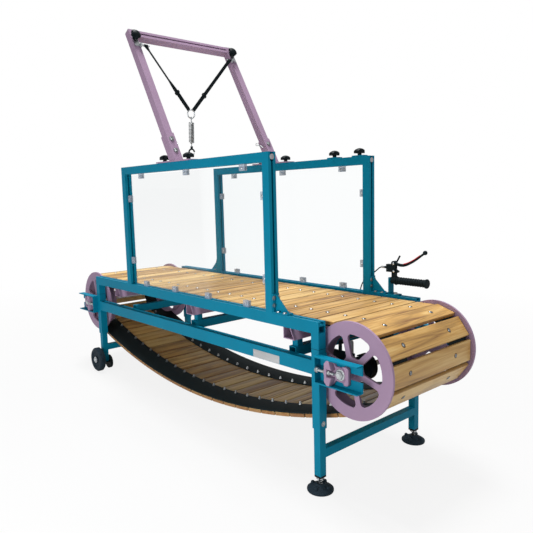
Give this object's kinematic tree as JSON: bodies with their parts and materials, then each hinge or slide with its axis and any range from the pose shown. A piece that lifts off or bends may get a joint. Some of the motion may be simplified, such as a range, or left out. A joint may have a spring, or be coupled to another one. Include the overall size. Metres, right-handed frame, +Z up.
{
  "type": "dog treadmill",
  "caption": "Dog-powered slat treadmill: teal frame on wheels and levelling feet, hanging wooden slat loop on two drums, clear side panels, leaning tether mast and hand brake.",
  "frame": {"origin": "on the floor, under the middle of the part's box", "axes": "+X is the front, where the deck is higher and the brake handle stands; +Z is up; the brake handle is on the +Y side"},
  "size_m": [2.5398, 0.7886, 2.0013],
  "materials": {
    "frame_teal": "satin teal powder coat",
    "profile_teal": "satin teal powder coat on drawn profile",
    "drum_lilac": "satin lilac powder coat",
    "steel_lilac": "satin lilac powder coat on folded sheet",
    "zinc": "bright zinc plate",
    "black_metal": "satin black paint",
    "slat_wood": "oiled pale wood",
    "belt_rubber": "matt black belt",
    "slide_plastic": "matt black sliding plastic",
    "clear_panel": "clear polished sheet",
    "clip_plastic": "grey translucent plastic",
    "black_plastic": "matt black plastic",
    "tyre_rubber": "solid black rubber",
    "foot_rubber": "matt black rubber",
    "grip_rubber": "ribbed black rubber",
    "strap_web": "woven black webbing"
  },
  "bodies": {
    "frame": {"deck_rails": "profile_teal", "corner_posts": "profile_teal", "base_sleeves": "frame_teal", "mid_rails": "frame_teal", "cross_tubes": "frame_teal", "cross_channels": "steel_lilac", "belt_slides": "slide_plastic", "takeup_brackets": "frame_teal", "bearing_blocks": "drum_lilac", "tension_bolts": "zinc", "side_posts": "profile_teal", "top_beams": "profile_teal", "side_panels": "clear_panel", "panel_clips": "clip_plastic", "corner_brackets": "frame_teal", "clamp_plates": "frame_teal", "slats_deck": "slat_wood", "slats_front": "slat_wood", "slats_rear": "slat_wood", "slats_slack": "slat_wood", "belts": "belt_rubber", "handle_bracket": "frame_teal", "grip": "grip_rubber", "lever_body": "black_metal", "brake_caliper": "black_metal", "brake_cable": "black_plastic"},
    "front_drum": {"front_discs": "drum_lilac", "front_axle": "zinc", "brake_drum": "black_metal"},
    "rear_drum": {"rear_discs": "drum_lilac", "rear_axle": "zinc"},
    "front_legs": {"front_leg_frame": "frame_teal", "leg_caps_front": "black_plastic"},
    "rear_legs": {"rear_leg_frame": "frame_teal", "leg_caps_rear": "black_plastic", "wheel_axles": "zinc"},
    "near_pad": {"foot_near": "foot_rubber"},
    "far_pad": {"foot_far": "foot_rubber"},
    "near_wheel": {"wheel_near": "tyre_rubber"},
    "far_wheel": {"wheel_far": "tyre_rubber"},
    "mast": {"mast_bases": "steel_lilac", "mast_uprights": "drum_lilac", "mast_crossbar": "drum_lilac", "strap_eyes": "zinc"},
    "near_rear_knob": {"mast_knob_near_rear": "black_plastic"},
    "near_front_knob": {"mast_knob_near_front": "black_plastic"},
    "far_rear_knob": {"mast_knob_far_rear": "black_plastic"},
    "far_front_knob": {"mast_knob_far_front": "black_plastic"},
    "near_top_knob": {"eye_knob_near": "black_plastic"},
    "far_top_knob": {"eye_knob_far": "black_plastic"},
    "rear_clamp_knob": {"clamp_knob_rear": "black_plastic"},
    "front_clamp_knob": {"clamp_knob_front": "black_plastic"},
    "tether": {"tether_straps": "strap_web", "tether_ring": "zinc", "tether_spring": "zinc"},
    "hook": {"snap_hook": "black_metal"},
    "gate": {"hook_gate": "zinc"},
    "lever": {"lever_blade": "black_metal"},
    "lock": {"lock_lever": "black_metal"},
    "arm": {"brake_arm": "zinc"}
  },
  "joints": [
    {"name": "front_drum_spin", "type": "hinge", "parent": "frame", "child": "front_drum", "pos_m": [1.08039, 0, 0.51861], "axis": [0, 1, 0], "continuous": true},
    {"name": "rear_drum_spin", "type": "hinge", "parent": "frame", "child": "rear_drum", "pos_m": [-1.08039, 0, 0.42049], "axis": [0, 1, 0], "continuous": true},
    {"name": "front_legs_slide", "type": "slide", "parent": "frame", "child": "front_legs", "axis": [0.0454, 0, -0.999], "range_m": [0, 0.08]},
    {"name": "rear_legs_slide", "type": "slide", "parent": "frame", "child": "rear_legs", "axis": [0.0454, 0, -0.999], "range_m": [0, 0.08]},
    {"name": "near_pad_turn", "type": "hinge", "parent": "front_legs", "child": "near_pad", "pos_m": [0.96745, -0.322, 0.0186], "axis": [0, 0, 1], "continuous": true},
    {"name": "far_pad_turn", "type": "hinge", "parent": "front_legs", "child": "far_pad", "pos_m": [0.96745, 0.322, 0.0186], "axis": [0, 0, 1], "continuous": true},
    {"name": "near_wheel_roll", "type": "hinge", "parent": "rear_legs", "child": "near_wheel", "pos_m": [-0.92906, -0.369, 0.075], "axis": [0, 1, 0], "continuous": true},
    {"name": "far_wheel_roll", "type": "hinge", "parent": "rear_legs", "child": "far_wheel", "pos_m": [-0.92906, 0.369, 0.075], "axis": [0, 1, 0], "continuous": true},
    {"name": "mast_slide", "type": "slide", "parent": "frame", "child": "mast", "axis": [0.999, 0, 0.0454], "range_m": [-0.38, 0.27]},
    {"name": "near_rear_knob_turn", "type": "hinge", "parent": "mast", "child": "near_rear_knob", "pos_m": [-0.1452, -0.322, 1.30843], "axis": [-0.0454, 0, 0.999], "continuous": true},
    {"name": "near_front_knob_turn", "type": "hinge", "parent": "mast", "child": "near_front_knob", "pos_m": [0.06858, -0.322, 1.31814], "axis": [-0.0454, 0, 0.999], "continuous": true},
    {"name": "far_rear_knob_turn", "type": "hinge", "parent": "mast", "child": "far_rear_knob", "pos_m": [-0.1452, 0.322, 1.30843], "axis": [-0.0454, 0, 0.999], "continuous": true},
    {"name": "far_front_knob_turn", "type": "hinge", "parent": "mast", "child": "far_front_knob", "pos_m": [0.06858, 0.322, 1.31814], "axis": [-0.0454, 0, 0.999], "continuous": true},
    {"name": "near_top_knob_turn", "type": "hinge", "parent": "mast", "child": "near_top_knob", "pos_m": [-0.41626, -0.322, 1.96124], "axis": [0.8471, 0, 0.5314], "continuous": true},
    {"name": "far_top_knob_turn", "type": "hinge", "parent": "mast", "child": "far_top_knob", "pos_m": [-0.41626, 0.322, 1.96124], "axis": [0.8471, 0, 0.5314], "continuous": true},
    {"name": "rear_clamp_knob_turn", "type": "hinge", "parent": "frame", "child": "rear_clamp_knob", "pos_m": [0.42922, 0.322, 1.33421], "axis": [-0.0454, 0, 0.999], "continuous": true},
    {"name": "front_clamp_knob_turn", "type": "hinge", "parent": "frame", "child": "front_clamp_knob", "pos_m": [0.59105, 0.322, 1.34156], "axis": [-0.0454, 0, 0.999], "continuous": true},
    {"name": "tether_swing", "type": "hinge", "parent": "mast", "child": "tether", "pos_m": [-0.37701, 0, 1.91503], "axis": [0, 1, 0], "range_deg": [-60, 60]},
    {"name": "hook_stretch", "type": "slide", "parent": "tether", "child": "hook", "axis": [0, 0, -1], "range_m": [0, 0.05], "stiffness_N_per_m": 1500, "springref_m": -0.01, "deforming": ["tether_spring"]},
    {"name": "gate_open", "type": "hinge", "parent": "hook", "child": "gate", "pos_m": [-0.37701, 0.0126, 1.35699], "axis": [1, 0, 0], "range_deg": [0, 25], "stiffness_Nm_per_rad": 0.02, "springref_deg": -28.65},
    {"name": "lever_squeeze", "type": "hinge", "parent": "frame", "child": "lever", "pos_m": [0.81926, 0.322, 0.83509], "axis": [0, 1, 0], "range_deg": [0, 28], "stiffness_Nm_per_rad": 0.6, "springref_deg": -34.38},
    {"name": "lock_turn", "type": "hinge", "parent": "frame", "child": "lock", "pos_m": [0.81336, 0.322, 0.82181], "axis": [0, 1, 0], "range_deg": [0, 35]},
    {"name": "brake_arm_turn", "type": "hinge", "parent": "frame", "child": "arm", "pos_m": [1.01155, -0.211, 0.53551], "axis": [0, -1, 0], "range_deg": [0, 10]}
  ],
  "couplings": [
    {"joint": "rear_drum_spin", "follows": "front_drum_spin", "ratio": 1},
    {"joint": "brake_arm_turn", "follows": "lever_squeeze", "ratio": 0.35}
  ]
}
